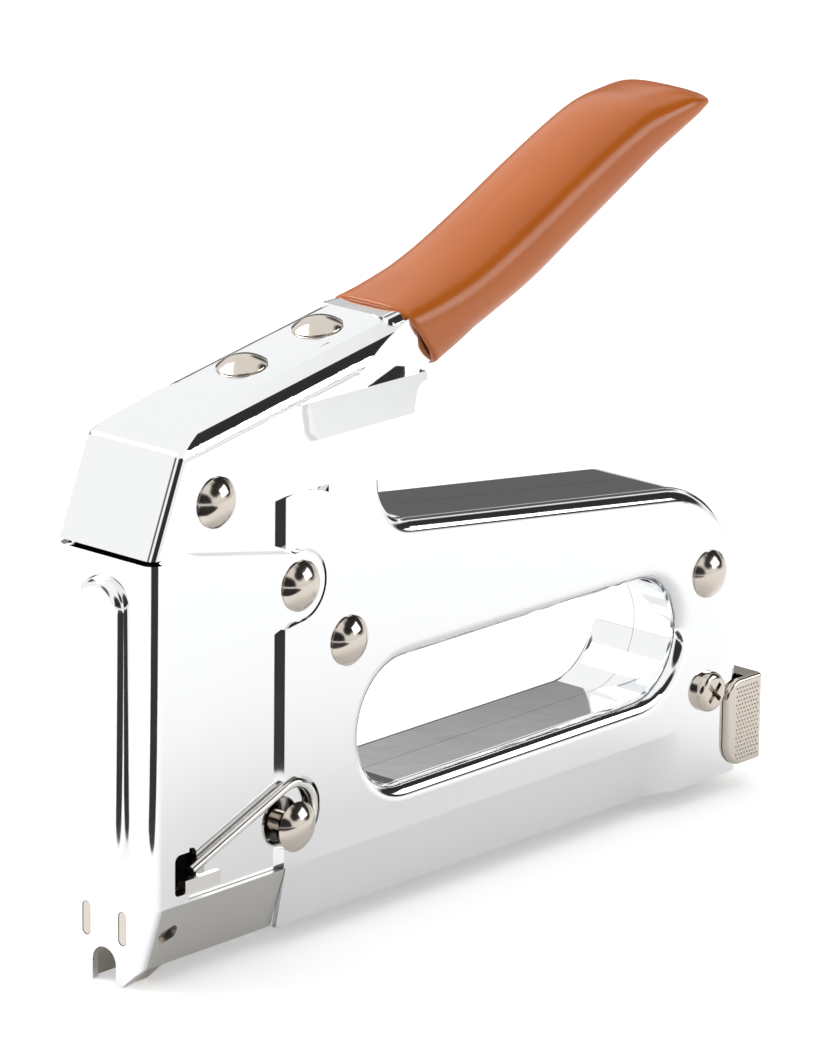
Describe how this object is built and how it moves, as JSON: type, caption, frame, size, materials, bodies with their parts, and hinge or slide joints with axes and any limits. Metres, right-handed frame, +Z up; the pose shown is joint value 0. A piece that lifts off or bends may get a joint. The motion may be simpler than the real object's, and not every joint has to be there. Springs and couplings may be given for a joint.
{
  "type": "hand staple gun for wire",
  "caption": "Chrome-plated squeeze-handle stapler for fixing low-voltage wire, with an orange sleeve grip, notched nose, rear-loading magazine and coil-spring striker.",
  "frame": {"origin": "centre of the wire notch at the front face of the nose, in the middle plane, level with the body's underside; the two prongs reach 4.25 mm lower", "axes": "+X from the nose to the heel, +Z up towards the handle, +Y to the tool's left as seen from behind the heel"},
  "size_m": [0.1926, 0.0353, 0.1593],
  "materials": {
    "chrome_plate": "mirror-bright chrome plate on pressed steel",
    "satin_steel": "satin zinc-plated steel",
    "bright_nickel": "bright nickel plate",
    "warm_nickel": "smooth nickel plate, slightly warm",
    "dark_steel": "oiled hardened steel",
    "spring_steel": "drawn spring wire",
    "zinc_wire": "galvanised wire",
    "black_rubber": "moulded rubber",
    "orange_vinyl": "glossy dipped vinyl"
  },
  "bodies": {
    "frame": {"left_shell": "chrome_plate", "right_shell": "chrome_plate", "front_cover": "chrome_plate", "nose_housing": "satin_steel", "nose_guide": "warm_nickel", "pivot_rivet": "warm_nickel", "body_rivets": "warm_nickel", "heel_screw": "warm_nickel", "heel_nut": "warm_nickel", "front_spacers": "satin_steel", "heel_spacers": "satin_steel", "rear_spacer": "satin_steel", "spring_stop": "satin_steel", "bumper": "black_rubber", "magazine_channel": "satin_steel", "staple_strip": "zinc_wire", "power_spring": "spring_steel", "return_spring": "spring_steel", "keeper_springs": "spring_steel"},
    "squeeze_handle": {"handle": "chrome_plate", "grip": "orange_vinyl", "lift_lever": "satin_steel", "pivot_bush": "dark_steel", "handle_rivet": "warm_nickel", "top_rivets": "warm_nickel"},
    "striker": {"striker_plunger": "dark_steel", "driver_blade": "dark_steel", "blade_rivets": "dark_steel"},
    "keeper": {"strip_keeper": "bright_nickel"},
    "magazine": {"pusher_rail": "satin_steel", "latch_head": "warm_nickel", "pusher_spring": "spring_steel"},
    "follower": {"pusher_follower": "satin_steel"}
  },
  "joints": [
    {"name": "handle_squeeze", "type": "hinge", "parent": "frame", "child": "squeeze_handle", "pos_m": [0.0427, 0, 0.0728], "axis": [0, 1, 0], "range_deg": [0, 25], "stiffness_Nm_per_rad": 8, "springref_deg": -28.65, "deforming": ["return_spring"]},
    {"name": "striker_lift", "type": "slide", "parent": "frame", "child": "striker", "axis": [0, 0, 1], "range_m": [0, 0.0168], "deforming": ["power_spring"]},
    {"name": "keeper_lift", "type": "slide", "parent": "frame", "child": "keeper", "axis": [0, 0, 1], "range_m": [0, 0.003], "stiffness_N_per_m": 1200, "springref_m": -0.002, "deforming": ["keeper_springs"]},
    {"name": "magazine_pull", "type": "slide", "parent": "frame", "child": "magazine", "axis": [1, 0, 0], "range_m": [0, 0.15]},
    {"name": "follower_slide", "type": "slide", "parent": "magazine", "child": "follower", "axis": [1, 0, 0], "range_m": [0, 0.1], "stiffness_N_per_m": 30, "springref_m": -0.05, "deforming": ["pusher_spring"]}
  ],
  "couplings": [
    {"joint": "striker_lift", "follows": "handle_squeeze", "m_per_rad": 0.038394}
  ]
}
